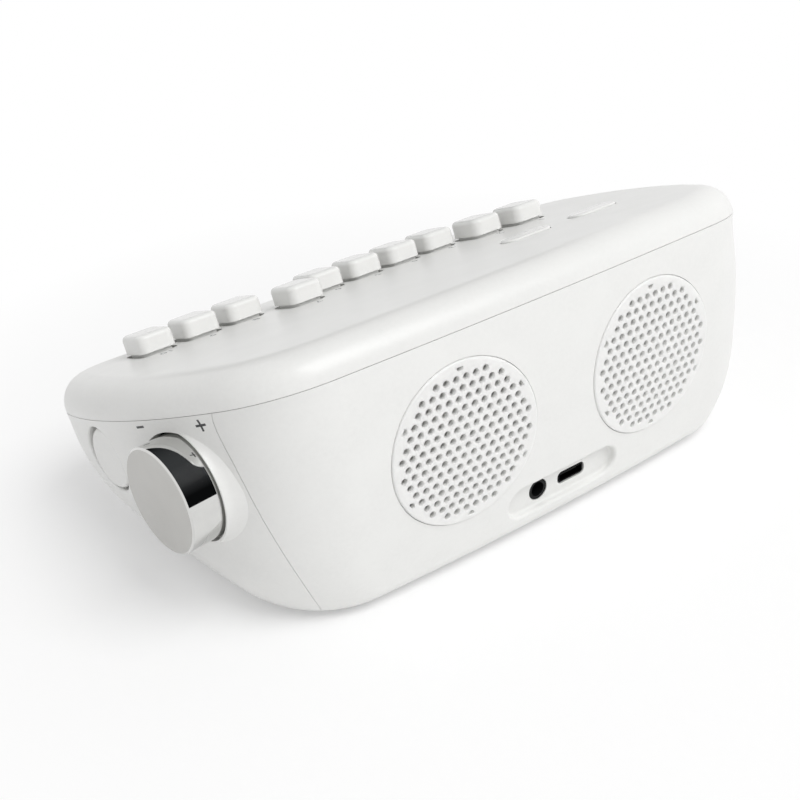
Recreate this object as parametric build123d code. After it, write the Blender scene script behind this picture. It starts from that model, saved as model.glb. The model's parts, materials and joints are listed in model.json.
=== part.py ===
from build123d import *
import os
from math import atan2, ceil, cos, hypot, radians, sin, sqrt, tan

# Tabletop sound machine: a wedge-shaped plastic case with two speakers in its tall back face,
# sound keys on its sloping top, and a volume knob and a power button in its right-hand end.
# +X runs to the knob end, +Y to the speaker face, +Z up. The origin is on the table, midway
# between the speakers. Millimetres and degrees.

# ---------------------------------------------------------------- case, seen from outside
FOOT_PROUD = 1.2            # the case stands this far off the table on its feet
BACK_HEIGHT = 56.9          # parting line above the table, at the back
FRONT_HEIGHT = 22.3         # parting line above the table, at the front
FRONT_Y = -45.2             # parting line at the front
BASE_FRONT_Y = -24.0        # front edge of the flat underside
FRONT_BOW = 0.5             # how far the rise from that edge bows out, as on a boat
BACK_BULGE_Y = 45.24        # furthest point of the speaker face
BACK_BULGE_Z = 22.9
BACK_BULGE_R = 168.0
CASE_X = 2.7                # middle of the case, which stands off the speakers' middle
HALF_LENGTH_BACK = 72.9     # to the side of the back corner arcs
FRONT_SPLAY = 7.8           # the side of the front corner arcs stands this much further out
BACK_CORNER_R = 22.4
FRONT_CORNER_R = 15.0
BACK_SIDE_R = 893.0         # plan radius of the speaker face
FRONT_SIDE_R = 1089.0
END_SIDE_R = 110.0
BASE_END_R = 1000.0         # at the underside the ends are this much straighter in plan
TUCK_BACK = 6.8             # and draw in this far, at the back
TUCK_FRONT = 10.2
TUCK_FADE = 3.0             # exponent of both fades up to the front parting line
BASE_EDGE_R = 4.0
WALL = 2.4
SECTIONS = (0.0, 0.06, 0.14, 0.25, 0.4, 0.58, 0.78, 1.0)   # slanting sections, base to parting line

# ---------------------------------------------------------------- top cover
COVER_HEIGHT = 7.6          # square to the parting plane
COVER_EDGE_R = 6.8
COVER_WALL = 2.2
REVEAL = 0.1                # open line between the cover and the case
TONGUE_OUTER = 1.5          # inset of the cover's tongue from the outside
TONGUE_THICK = 1.1
TONGUE_DEEP = 1.6
LIP_FIT = 0.1

# ---------------------------------------------------------------- end cap, knob and power button
SEAM_LOW = (15.0, 0.0)      # inset from HALF_LENGTH_BACK, height: three points of the seam's arc
SEAM_MID = (4.45, 30.0)
SEAM_HIGH = (0.9, 60.0)
SEAM_GAP = 0.06
END_LIP_REACH = 3.2
END_LIP_ROOT = 2.0
END_LIP_THICK = 1.4
END_LIP_DROP = 3.2          # the lip stops this far under the parting plane
END_ANGLE = 6.2             # the knob's axis turns this far from +X to +Y
KNOB_PROUD_LAND = 2.3       # the collar's land, beyond HALF_LENGTH_BACK
KNOB_Y = 18.5
KNOB_TOP_Z = 43.05          # the knob's highest point: a bigger knob grows down from it
KNOB_R = 11.7
KNOB_HEIGHT = 7.3           # front face above the land
KNOB_EDGE_R = 0.7
KNOB_GAP = 0.55
KNOB_LIFT = 0.4             # knob skirt above the recess floor
COLLAR_LAND = 0.4
COLLAR_DRAFT = 8.0          # its side leaves the land at this slope to the axis
COLLAR_SPREAD = 35.0        # and flares out to this one
COLLAR_FLARE_R = 4.5
COLLAR_SKIRT = 5.0          # height of the straight flare under the arc
COLLAR_DEEP = 12.0
COLLAR_WALL = 2.2
RECESS_DEEP = 2.0
BUTTON_Y = -29.4            # along the end face, from the knob's axis
BUTTON_Z = -5.55
BUTTON_R = 7.2
BUTTON_GAP = 0.7
BUTTON_TOP = 2.0            # above the collar's land
BUTTON_EDGE_R = 1.1
BUTTON_TRAVEL = 0.8
BUTTON_FLANGE = 1.3
BUTTON_FLANGE_TOP = -1.1
BUTTON_HOLE_R = 0.4         # rounding of the mouth of its hole

# ---------------------------------------------------------------- potentiometer, switch and end board
SHAFT_R = 3.0
SHAFT_TOP = 4.6             # above the land, inside the knob
BUSH_R = 3.5
BUSH_FIT = 0.1
BUSH_TOP = -0.2
NUT_R = 5.6
NUT_THICK = 1.5
POT_SIDE = 12.4
POT_DEEP = 6.4
KNOB_CAVITY_R = 7.2
KNOB_FIT = 0.3
SHAFT_FIT = 0.03
END_BOARD_FRONT_Y = 6.6     # board ends, along the end face from the knob's axis
END_BOARD_BACK_Y = -44.5
END_BOARD_LOW = -13.5
END_BOARD_HIGH = 7.0
END_BOARD_NECK_Y = -8.6     # the board is lower beyond this, under the sloping cover
END_BOARD_NECK_HIGH = -2.4
BOARD_THICK = 1.6
SWITCH_SIDE = 6.2
SWITCH_DEEP = 2.6
PLUNGER_R = 1.7
PLUNGER_FIT = 0.1
STEM_R = 3.0

# ---------------------------------------------------------------- grilles and speakers
SPEAKER_X = 27.1
SPEAKER_Z = 32.2
GRILLE_R = 18.75
GRILLE_GAP = 0.12
GRILLE_PROUD = 0.4
GRILLE_THICK = 1.3
GRILLE_EDGE_R = 0.5
GRILLE_HOLE_R = 0.8
GRILLE_PITCH = 2.5
GRILLE_RIM = 1.4            # plain rim outside the last hole centres
GRILLE_RING = 1.2           # wall that carries the disc to its flange
GRILLE_FLANGE = 1.35        # the flange behind the disc is this much wider
FLANGE_FIT = 0.05
GRILLE_SEAT_Y = 38.4        # flat back of the grille's flange
GASKET_THICK = 1.0
SPEAKER_STEP = 1.25         # the speaker's rim is this much wider than the grille
SPEAKER_RIM = 3.0
SPEAKER_SHEET = 1.2
BASKET_DEEP = 8.2
BASKET_R = 11.0
BASKET_WALL = 0.8
MAGNET_R = 12.5
MAGNET_DEEP = 8.0
COIL_R = 5.0
COIL_WALL = 0.5
COIL_GAP = 0.4
CONE_THICK = 0.5
SURROUND_WIDTH = 2.0        # flat surround outside the cone
DUST_CAP_HEIGHT = 1.5
SPEAKER_BOSS_CLEAR = 0.2
SPEAKER_BOSS_R = 2.6
SPEAKER_SCREW_ANGLES = (45, 135, 200, 340)
SPEAKER_SCREW_LENGTH = 3.6

# ---------------------------------------------------------------- socket recess in the back
POCKET_HALF_LENGTH = 16.2
POCKET_HALF_HEIGHT = 3.9
POCKET_Z = 10.2
POCKET_FLOOR_Y = 42.6
POCKET_LIP_R = 0.6          # rounding of its mouth
POCKET_CORNER_R = 0.7       # rounding of its floor
POCKET_PAD = 1.2            # the pad behind the recess is this much bigger all round
POCKET_PAD_Y = 40.4
JACK_X = 6.0
JACK_OPENING_R = 2.65
JACK_BORE_R = 1.8
JACK_DEEP = 12.0
JACK_BACK = 1.2             # wall behind its bore
JACK_WIDTH = 6.4
JACK_HEIGHT = 5.4
JACK_NOSE_FIT = 0.1         # round nose of the socket in the recess's opening
USB_X = -4.0
USB_OPENING = (8.2, 3.2)
USB_SHELL = (7.5, 2.5)
USB_DEEP = 5.6
USB_SHEET = 0.35
USB_OPENING_R = 1.28
USB_SHELL_R = 0.75
USB_FOOT_INSET = 1.28
USB_TONGUE_WIDTH = 5.0
PORT_Z = 9.9                # centre line of both sockets
SOCKET_GAP = 0.2
SOCKET_SUNK = 0.15          # fronts of both sockets, under the floor of the recess

# ---------------------------------------------------------------- main board
MAIN_BOARD_Z = 5.8
MAIN_BOARD_HALF = 31.0
MAIN_BOARD_FRONT_Y = 2.0
MAIN_BOARD_BACK_Y = 39.6
STANDOFF_R = 2.6
MAIN_SCREW_INSET = 3.5
CHIPS = (                   # x, y, width, depth and height of each chip on the board
    (-12.0, 16.0, 7.0, 7.0, 1.6), (12.0, 12.0, 5.0, 6.2, 1.7), (-2.8, 24.0, 3.0, 3.0, 1.2),
)
CAPACITORS = ((20.0, 22.0), (-22.0, 24.0))
CAPACITOR_R = 2.5
CAPACITOR_HEIGHT = 5.4
CAPACITOR_EDGE_R = 0.5

# ---------------------------------------------------------------- keys on the sloping top
KEY_MIDDLE_X = 9.05         # middle of the row
KEY_ROW = 72.3              # key centres, down the slope from the back parting line
KEY_OFFSETS = (             # of each key off the row, along it and up the slope
    (0, 9), (0, 6), (0, 0), (0, 0), (0, 0), (0, 0), (-0.9, 8.5), (0, 0), (0, 0), (0, 0),
)
KEY_WIDTH = 9.0
KEY_DEPTH = 12.0
KEY_HEIGHT = 5.0
KEY_CORNER_R = 2.2
KEY_TOP_R = 1.2
KEY_LIFT = 0.7              # the cap's edge stands this far off the panel
KEY_UNDERCUT = 0.9          # on a stem this much narrower all round
KEY_FLANGE = 0.7
KEY_SPACING = 1.3           # between the flanges of two keys in the row
KEY_GAP = 0.3
KEY_TRAVEL = 1.0
FLANGE_THICK = 1.2
FUNCTION_X = (-24.6, -46.6)
FUNCTION_ROW = 37.3
FUNCTION_LENGTH = 14.0
FUNCTION_WIDTH = 6.2
FUNCTION_PROUD = 0.5
FUNCTION_TRAVEL = 0.6

# ---------------------------------------------------------------- key mat and key board
KEY_BOARD_TOP = -0.5        # height over the parting plane
MAT_THICK = 0.8
DOME_R = 3.9
DOME_TOP_R = 2.7
DOME_GAP = 0.3
KEY_BOARD_MARGIN = 2.2
KEY_SCREWS = ((61.0, 58.5), (8.0, 58.5), (-46.3, 49.0), (-35.6, FUNCTION_ROW))
KEY_BOSS_R = 2.4

# ---------------------------------------------------------------- fasteners and feet
CASE_SCREWS = ((49.5, 31.0), (-49.5, 31.0), (-58.0, 0.0), (49.5, 0.0))
CASE_BOSS_R = 3.9
CASE_PILLAR_R = 3.4
CASE_BOSS_TOP = 16.0
CASE_SCREW_R = 1.5
CASE_SCREW_LENGTH = 18.0
CASE_HEAD_R = 2.8
HEAD_FIT = 0.35
CASE_HEAD_THICK = 1.8
HEAD_SUNK = 2.6
SCREW_FIT = 0.15
THREAD_FIT = 0.03
SMALL_SCREW_R = 1.0
SMALL_HEAD_R = 2.0
SMALL_HEAD_THICK = 1.2
SMALL_SCREW_LENGTH = 5.0
HEAD_ROUND = 0.33           # rounding of a screw head, as a share of its thickness
WASHER_HEAD_R = 3.5
FEET = ((38.0, 33.0), (-38.0, 33.0), (50.7, -13.0), (-45.3, -13.0))
FOOT_R = 5.0
FOOT_SUNK = 0.8
FOOT_FIT = 0.1
FOOT_EDGE_R = 0.4

# ---------------------------------------------------------------- leads
RIBBON_THICK = 0.3
RIBBON_GAP = 0.3
KEY_RIBBON_X = -14.0
KEY_RIBBON_WIDTH = 14.0
KEY_SOCKET_ROW = 60.0       # down the slope
MAIN_SOCKET_Y = 6.0
END_RIBBON_Y = 13.8
END_RIBBON_WIDTH = 8.0
END_SOCKET = (-4.0, -9.5)   # on the end board
SIDE_SOCKET_X = 26.0
RIBBON_BEND = 4.0
SOCKET_DEEP = 4.0
SOCKET_HEIGHT = 3.0
SOCKET_MARGIN = 1.0
LEAD_R = 0.6
LEAD_Y = 31.0
LEAD_OFFSET = 2.0

# ---------------------------------------------------------------- drawing aids
BIG = 200.0                 # beyond the whole machine
MATCH = 0.01                # edges this near a height are taken to lie on it
UP = (Align.CENTER, Align.CENTER, Align.MIN)


def back_y(z):
    """Speaker face in the middle plane, at a height."""
    return BACK_BULGE_Y - (z - BACK_BULGE_Z) ** 2 / (2 * BACK_BULGE_R)


BACK_Y = back_y(BACK_HEIGHT)
SLOPE = atan2(BACK_HEIGHT - FRONT_HEIGHT, BACK_Y - FRONT_Y)
PANEL = Plane(origin=(0, BACK_Y, BACK_HEIGHT), x_dir=(1, 0, 0), z_dir=(0, -sin(SLOPE), cos(SLOPE)))
KNOB_Z = KNOB_TOP_Z - KNOB_R
END = Plane(
    origin=(CASE_X + HALF_LENGTH_BACK + KNOB_PROUD_LAND, KNOB_Y, KNOB_Z),
    x_dir=(-sin(radians(END_ANGLE)), cos(radians(END_ANGLE)), 0),
    z_dir=(cos(radians(END_ANGLE)), sin(radians(END_ANGLE)), 0),
)
CEILING = COVER_HEIGHT - COVER_WALL
FLOOR = FOOT_PROUD + WALL
KEY_PITCH = KEY_WIDTH + 2 * KEY_FLANGE + KEY_SPACING
KEYS_IN_ROW = len(KEY_OFFSETS)
FLANGE_TOP = CEILING - KEY_GAP
FLANGE_LOW = FLANGE_TOP - FLANGE_THICK
SPEAKER_R = GRILLE_R + SPEAKER_STEP
BOARD_TOP = MAIN_BOARD_Z + BOARD_THICK
JACK_BODY_Y = POCKET_PAD_Y - SOCKET_GAP
PORT_FRONT_Y = POCKET_FLOOR_Y - SOCKET_SUNK


# ================================================================ shapes shared by several pieces
def post(plane, x, y, radius, low, high):
    """Round post standing on a point of a plane, between two heights over it."""
    return plane * Pos(x, y, low) * Cylinder(radius, high - low, align=UP)


def back_post(x, z, radius, near, far):
    """Round post along Y, from y = near to y = far."""
    return post(Plane.XZ, x, z, radius, -far, -near)


def block(plane, x_range, y_range, z_range):
    """Box between limits in a plane's own directions."""
    (x0, x1), (y0, y1), (z0, z1) = x_range, y_range, z_range
    middle = Pos((x0 + x1) / 2, (y0 + y1) / 2, z0)
    return plane * middle * Box(x1 - x0, y1 - y0, z1 - z0, align=UP)


def side_centre(first, first_r, second, second_r, radius):
    """Centre of the wide arc that two corner circles touch from inside, left of their line."""
    reach_1, reach_2 = radius - first_r, radius - second_r
    gap = hypot(second[0] - first[0], second[1] - first[1])
    along = (reach_1 ** 2 - reach_2 ** 2 + gap ** 2) / (2 * gap)
    across = sqrt(reach_1 ** 2 - along ** 2)
    ux, uy = (second[0] - first[0]) / gap, (second[1] - first[1]) / gap
    return first[0] + along * ux - across * uy, first[1] + along * uy + across * ux


def unit(start, end):
    length = hypot(end[0] - start[0], end[1] - start[1])
    return (end[0] - start[0]) / length, (end[1] - start[1]) / length


def arc(centre, radius, from_dir, to_dir):
    """Arc about a centre between two directions, through the direction midway."""
    middle = unit((0, 0), (from_dir[0] + to_dir[0], from_dir[1] + to_dir[1]))
    points = [
        (centre[0] + radius * way[0], centre[1] + radius * way[1])
        for way in (from_dir, middle, to_dir)
    ]
    return ThreePointArc(*points)


def base_share(height):
    """How much the underside's own outline counts, at a height above it."""
    full = FRONT_HEIGHT - FOOT_PROUD
    return (max(full - height, 0.0) / full) ** TUCK_FADE


def case_section(t, inset):
    """Slanting section of the case: t = 0 is the underside and t = 1 the parting plane."""
    back_rise = t * (BACK_HEIGHT - FOOT_PROUD)
    front_rise = t * (FRONT_HEIGHT - FOOT_PROUD)
    back = (back_y(FOOT_PROUD + back_rise), FOOT_PROUD + back_rise)
    reach = t * (1 + FRONT_BOW * (1 - t))
    front = (BASE_FRONT_Y + (FRONT_Y - BASE_FRONT_Y) * reach, FOOT_PROUD + front_rise)
    depth = hypot(back[0] - front[0], back[1] - front[1])
    tilt = atan2(back[1] - front[1], back[0] - front[0])
    plane = Plane(
        origin=(CASE_X, (back[0] + front[0]) / 2, (back[1] + front[1]) / 2),
        x_dir=(1, 0, 0),
        z_dir=(0, -sin(tilt), cos(tilt)),
    )
    back_x = HALF_LENGTH_BACK - BACK_CORNER_R - TUCK_BACK * base_share(back_rise)
    share = base_share(front_rise)
    front_x = HALF_LENGTH_BACK + FRONT_SPLAY - FRONT_CORNER_R - TUCK_FRONT * share
    end_r = 1 / (share / BASE_END_R + (1 - share) / END_SIDE_R)
    back_drop = BACK_SIDE_R - sqrt((BACK_SIDE_R - BACK_CORNER_R) ** 2 - back_x ** 2)
    front_drop = FRONT_SIDE_R - sqrt((FRONT_SIDE_R - FRONT_CORNER_R) ** 2 - front_x ** 2)
    corners = (
        ((front_x, front_drop - depth / 2), FRONT_CORNER_R),
        ((back_x, depth / 2 - back_drop), BACK_CORNER_R),
        ((-back_x, depth / 2 - back_drop), BACK_CORNER_R),
        ((-front_x, front_drop - depth / 2), FRONT_CORNER_R),
    )
    side_radii = (end_r, BACK_SIDE_R, end_r, FRONT_SIDE_R)
    sides = []
    for index, radius in enumerate(side_radii):
        (first, first_r), (second, second_r) = corners[index], corners[(index + 1) % 4]
        sides.append((side_centre(first, first_r, second, second_r, radius), radius))
    edges = []
    for index, (corner, corner_r) in enumerate(corners):
        following = corners[(index + 1) % 4][0]
        before, after = sides[index - 1][0], sides[index][0]
        edges.append(arc(corner, corner_r - inset, unit(before, corner), unit(after, corner)))
        radius = sides[index][1] - inset
        edges.append(arc(after, radius, unit(after, corner), unit(after, following)))
    return plane * make_face(edges)


def case_form(inset):
    """The case's whole form up to the parting plane, drawn in by an inset."""
    form = loft([case_section(t, inset) for t in SECTIONS])
    if inset > 0:
        form -= block(Plane.XY, (-BIG, BIG), (-BIG, BIG), (-BIG, FOOT_PROUD + inset))
    return form


def panel_form(inset, low, high):
    """Prism of the parting outline square to the parting plane."""
    return extrude(case_section(1.0, inset), high - low).moved(
        Location(PANEL.z_dir * low)
    )


def seam_side(shift):
    """All space on the knob side of the end cap's seam, moved along X by a shift."""
    low, middle, high = [
        (CASE_X + HALF_LENGTH_BACK - inset + shift, height)
        for inset, height in (SEAM_LOW, SEAM_MID, SEAM_HIGH)
    ]
    edges = [
        ThreePointArc(low, middle, high),
        Line(high, (BIG, high[1])),
        Line((BIG, high[1]), (BIG, low[1])),
        Line((BIG, low[1]), low),
    ]
    return extrude(Plane.XZ * make_face(edges), BIG, both=True)


def hole_pattern():
    """Centres of the grille's holes: staggered rows inside the plain rim."""
    row_step = GRILLE_PITCH * sqrt(3) / 2
    rows = ceil(GRILLE_R / row_step)
    columns = ceil(GRILLE_R / GRILLE_PITCH)
    centres = []
    for row in range(-rows, rows + 1):
        for column in range(-columns, columns + 1):
            x = (column + (row % 2) / 2) * GRILLE_PITCH
            z = row * row_step
            if hypot(x, z) <= GRILLE_R - GRILLE_RIM:
                centres.append((x, z))
    return centres


def screw(plane, x, y, seat, length, radius, head_r, head_thick):
    """Pan-head screw: its head stands on the seat and its shank runs down from it."""
    shank = post(plane, x, y, radius, seat - length, seat)
    head = post(plane, x, y, head_r, seat, seat + head_thick)
    drive = post(plane, x, y, radius, seat + head_thick / 2, seat + head_thick)
    top_edge = head.edges().sort_by(Axis((0, 0, 0), plane.z_dir))[-1]
    return shank + fillet(top_edge, head_thick * HEAD_ROUND) - drive


def key_places():
    """Name, x and distance down the slope of every sound key, counted from the user's left."""
    first_x = KEY_MIDDLE_X - KEY_PITCH * (KEYS_IN_ROW - 1) / 2
    return [
        (f"key_{index + 1:02d}", first_x + KEY_PITCH * index + along, KEY_ROW - back)
        for index, (along, back) in enumerate(KEY_OFFSETS)
    ]


def speaker_screw_places(centre_x):
    reach = SPEAKER_R + SPEAKER_BOSS_CLEAR + SPEAKER_BOSS_R
    return [
        (centre_x + reach * cos(radians(angle)), SPEAKER_Z + reach * sin(radians(angle)))
        for angle in SPEAKER_SCREW_ANGLES
    ]


def main_screw_places():
    ends = (MAIN_BOARD_FRONT_Y + MAIN_SCREW_INSET, MAIN_BOARD_BACK_Y - MAIN_SCREW_INSET)
    reach = MAIN_BOARD_HALF - MAIN_SCREW_INSET
    return [(x, y) for x in (-reach, reach) for y in ends]


def key_area(margin):
    """L-shaped outline round the keys and the two function buttons, x against distance down."""
    keys = key_places()
    half_w, half_d = KEY_WIDTH / 2 + KEY_FLANGE + margin, KEY_DEPTH / 2 + margin
    left = min(x for _, x, _ in keys) - half_w
    right = max(x for _, x, _ in keys) + half_w
    far = KEY_ROW + half_d
    near = min(down for _, _, down in keys) - half_d
    wing_right = max(FUNCTION_X) + FUNCTION_LENGTH / 2 + margin
    wing_near = FUNCTION_ROW - FUNCTION_WIDTH / 2 - KEY_FLANGE - margin
    points = [
        (left, -far), (right, -far), (right, -near),
        (wing_right, -near), (wing_right, -wing_near), (left, -wing_near),
    ]
    return make_face(Polyline(*points, close=True))


# ================================================================ case, end cap and cover
def pocket_outline(grow):
    """Upright stadium of the socket recess, in the X-Z plane."""
    length = 2 * (POCKET_HALF_LENGTH + grow)
    return Plane.XZ * Pos(0, POCKET_Z) * SlotOverall(length, 2 * (POCKET_HALF_HEIGHT + grow))


def back_prism(outline, near, far):
    """An outline in the X-Z plane swept along Y, from y = near to y = far."""
    return extrude(outline, near - far).moved(Location((0, near, 0)))


def build_collar(land_r):
    """Raised seat of the knob: a short drafted side that flares out into the end face."""
    slopes = [radians(angle) for angle in (COLLAR_DRAFT, COLLAR_SPREAD)]
    slopes.insert(1, sum(slopes) / 2)
    centre = (land_r + COLLAR_FLARE_R * cos(slopes[0]), COLLAR_FLARE_R * sin(slopes[0]))
    side = [
        (centre[0] - COLLAR_FLARE_R * cos(slope), centre[1] - COLLAR_FLARE_R * sin(slope))
        for slope in slopes
    ]
    foot = (side[2][0] + COLLAR_SKIRT * tan(slopes[2]), side[2][1] - COLLAR_SKIRT)
    edges = [
        ThreePointArc(*side),
        Polyline(side[2], foot, (foot[0], -COLLAR_DEEP), (0, -COLLAR_DEEP), (0, 0), side[0]),
    ]
    upright = Plane(origin=END.origin, x_dir=END.x_dir, z_dir=END.y_dir * -1)
    collar = revolve(upright * make_face(edges), Axis(END.origin, END.z_dir))
    return collar - block(PANEL, (-BIG, BIG), (-BIG, BIG), (0, BIG))


def cut_rounded(solid, cutter, radius):
    """A solid with a hole cut into it, whose mouth is rounded."""
    opened = solid - cutter
    return fillet(new_edges(solid, cutter, combined=opened), radius)


def build_shell():
    """The hollow case with its end, before the end cap is parted from it."""
    outside = case_form(0)
    base_edges = outside.edges().filter_by_position(Axis.Z, FOOT_PROUD - MATCH, FOOT_PROUD + MATCH)
    outside = fillet(base_edges, BASE_EDGE_R)
    recess_r = KNOB_R + KNOB_GAP
    land_r = recess_r + COLLAR_LAND
    flare = tan(radians(COLLAR_DRAFT))
    roof = RECESS_DEEP + COLLAR_WALL
    core = END * Pos(0, 0, -COLLAR_DEEP) * Cone(
        land_r + COLLAR_DEEP * flare - COLLAR_WALL,
        land_r + roof * flare - COLLAR_WALL,
        COLLAR_DEEP - roof,
        align=UP,
    )
    button_hole = post(END, BUTTON_Y, BUTTON_Z, BUTTON_R + BUTTON_GAP, 0, COLLAR_DEEP)
    outside = cut_rounded(outside + build_collar(land_r), button_hole, BUTTON_HOLE_R)
    shell = outside - case_form(WALL) - core
    shell -= post(END, 0, 0, recess_r, -RECESS_DEEP, COLLAR_DEEP)
    shell -= post(END, 0, 0, BUSH_R + BUSH_FIT, -COLLAR_DEEP, 0)
    shell -= post(END, BUTTON_Y, BUTTON_Z, BUTTON_R + BUTTON_GAP, -COLLAR_DEEP, 0)
    seat_r = BUTTON_R + BUTTON_FLANGE + BUTTON_GAP
    seat = BUTTON_FLANGE_TOP + KEY_GAP
    shell -= post(END, BUTTON_Y, BUTTON_Z, seat_r, -COLLAR_DEEP, seat)
    pad = back_prism(pocket_outline(POCKET_PAD), POCKET_PAD_Y, BACK_BULGE_Y)
    shell += pad & case_form(WALL / 2)
    for centre_x in (-SPEAKER_X, SPEAKER_X):
        for x, z in speaker_screw_places(centre_x):
            boss = back_post(x, z, SPEAKER_BOSS_R, speaker_back_y(), BACK_BULGE_Y)
            shell += boss & case_form(WALL / 2)
    return shell


def speaker_back_y():
    """Rear plane of the speaker flanges, which is the face their screws clamp."""
    return GRILLE_SEAT_Y - GASKET_THICK - SPEAKER_SHEET


def build_case():
    """Lower case and the separate end cap on its knob end."""
    shell = build_shell()
    recess = back_prism(pocket_outline(0), POCKET_FLOOR_Y, BACK_BULGE_Y + WALL)
    recess = fillet(recess.edges().group_by(Axis.Y)[0], POCKET_CORNER_R)
    shell = cut_rounded(shell, recess, POCKET_LIP_R)
    shell -= back_post(JACK_X, PORT_Z, JACK_OPENING_R, POCKET_PAD_Y - WALL, BACK_BULGE_Y)
    usb_slot = Plane.XZ * Pos(USB_X, PORT_Z) * RectangleRounded(*USB_OPENING, USB_OPENING_R)
    shell -= back_prism(usb_slot, POCKET_PAD_Y - WALL, BACK_BULGE_Y)
    for centre_x in (-SPEAKER_X, SPEAKER_X):
        shell -= back_post(centre_x, SPEAKER_Z, GRILLE_R + GRILLE_GAP, GRILLE_SEAT_Y, BIG)
        for x, z in speaker_screw_places(centre_x):
            tip = speaker_back_y() + SPEAKER_SCREW_LENGTH + SCREW_FIT
            shell -= back_post(x, z, SMALL_SCREW_R + THREAD_FIT, speaker_back_y(), tip)
    for x, y in CASE_SCREWS:
        shell += post(Plane.XY, x, y, CASE_BOSS_R, FOOT_PROUD, CASE_BOSS_TOP)
        shell -= post(Plane.XY, x, y, CASE_SCREW_R + SCREW_FIT, 0, CASE_BOSS_TOP)
        shell -= post(Plane.XY, x, y, CASE_HEAD_R + HEAD_FIT, 0, FOOT_PROUD + HEAD_SUNK)
    for x, y in main_screw_places():
        shell += post(Plane.XY, x, y, STANDOFF_R, FLOOR, MAIN_BOARD_Z)
        shell -= post(Plane.XY, x, y, SMALL_SCREW_R + THREAD_FIT, main_screw_tip(), MAIN_BOARD_Z)
    for x, y in FEET:
        shell -= post(Plane.XY, x, y, FOOT_R + FOOT_FIT, 0, FOOT_PROUD + FOOT_SUNK)
    shell -= panel_form(TONGUE_OUTER - LIP_FIT, -TONGUE_DEEP - LIP_FIT, LIP_FIT)
    housing = shell - seam_side(-SEAM_GAP / 2)
    cap = shell & seam_side(SEAM_GAP / 2)
    clear_of_knob = post(END, 0, 0, KNOB_R + KNOB_GAP + COLLAR_LAND, -BIG, COLLAR_DEEP)
    under_cover = block(PANEL, (-BIG, BIG), (-BIG, BIG), (-END_LIP_DROP, BIG))
    lip = case_form(WALL + LIP_FIT) - case_form(WALL + LIP_FIT + END_LIP_THICK)
    lip = (lip & seam_side(-END_LIP_REACH)) - seam_side(SEAM_GAP / 2)
    root = case_form(WALL - LIP_FIT) - case_form(WALL + LIP_FIT + END_LIP_THICK)
    root = (root & seam_side(SEAM_GAP / 2)) - seam_side(END_LIP_ROOT)
    cap += (lip + root) - clear_of_knob - under_cover
    for x, y in end_board_screws():
        boss = post(END, x, y, STANDOFF_R, end_board_front(), COLLAR_DEEP)
        cap += boss & case_form(WALL / 2)
        cap -= post(END, x, y, SMALL_SCREW_R + THREAD_FIT, end_board_front(), end_screw_tip())
    return housing, cap


def main_screw_tip():
    return MAIN_BOARD_Z + BOARD_THICK - SMALL_SCREW_LENGTH


def end_board_front():
    """Front of the end board, on the back of the potentiometer, as a height over the collar's land."""
    return -RECESS_DEEP - COLLAR_WALL - POT_DEEP


def end_screw_tip():
    return end_board_front() - BOARD_THICK + SMALL_SCREW_LENGTH


def end_board_screws():
    """Two screws beside the power switch, on bosses of the end cap."""
    reach = BUTTON_R + BUTTON_FLANGE + BUTTON_GAP + STANDOFF_R
    low = END_BOARD_LOW + STANDOFF_R
    return [(BUTTON_Y - reach, low), (BUTTON_Y + reach, low)]


def build_cover():
    """Top cover: the keys' panel with rolled edges, a tongue, pillars and board bosses."""
    cover = panel_form(0, REVEAL, COVER_HEIGHT)
    cover = fillet(cover.faces().sort_by(Axis((0, 0, 0), PANEL.z_dir))[-1].edges(), COVER_EDGE_R)
    hollow = panel_form(COVER_WALL, REVEAL, CEILING)
    roof = hollow.faces().sort_by(Axis((0, 0, 0), PANEL.z_dir))[-1]
    cover -= fillet(roof.edges(), COVER_EDGE_R - COVER_WALL)
    tongue = panel_form(TONGUE_OUTER, -TONGUE_DEEP, REVEAL + TONGUE_DEEP)
    cover += tongue - panel_form(TONGUE_OUTER + TONGUE_THICK, -COVER_HEIGHT, COVER_HEIGHT)
    above = block(PANEL, (-BIG, BIG), (-BIG, BIG), (CEILING + KEY_GAP, BIG))
    for x, y in CASE_SCREWS:
        cover += post(Plane.XY, x, y, CASE_PILLAR_R, CASE_BOSS_TOP, BIG) - above
        tip = FOOT_PROUD + HEAD_SUNK + CASE_SCREW_LENGTH
        cover -= post(Plane.XY, x, y, CASE_SCREW_R + THREAD_FIT, CASE_BOSS_TOP, tip)
    for x, down in KEY_SCREWS:
        cover += post(PANEL, x, -down, KEY_BOSS_R, KEY_BOARD_TOP, CEILING + KEY_GAP)
        tip = KEY_BOARD_TOP - BOARD_THICK + SMALL_SCREW_LENGTH
        cover -= post(PANEL, x, -down, SMALL_SCREW_R + THREAD_FIT, KEY_BOARD_TOP, tip)
    for _, x, down in key_places():
        hole = RectangleRounded(
            KEY_WIDTH + 2 * KEY_GAP, KEY_DEPTH + 2 * KEY_GAP, KEY_CORNER_R + KEY_GAP
        )
        cover -= extrude(PANEL * Pos(x, -down, 0) * hole, COVER_HEIGHT + KEY_HEIGHT)
    for x in FUNCTION_X:
        hole = SlotOverall(FUNCTION_LENGTH + 2 * KEY_GAP, FUNCTION_WIDTH + 2 * KEY_GAP)
        cover -= extrude(PANEL * Pos(x, -FUNCTION_ROW, 0) * hole, COVER_HEIGHT + KEY_HEIGHT)
    return cover


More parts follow.
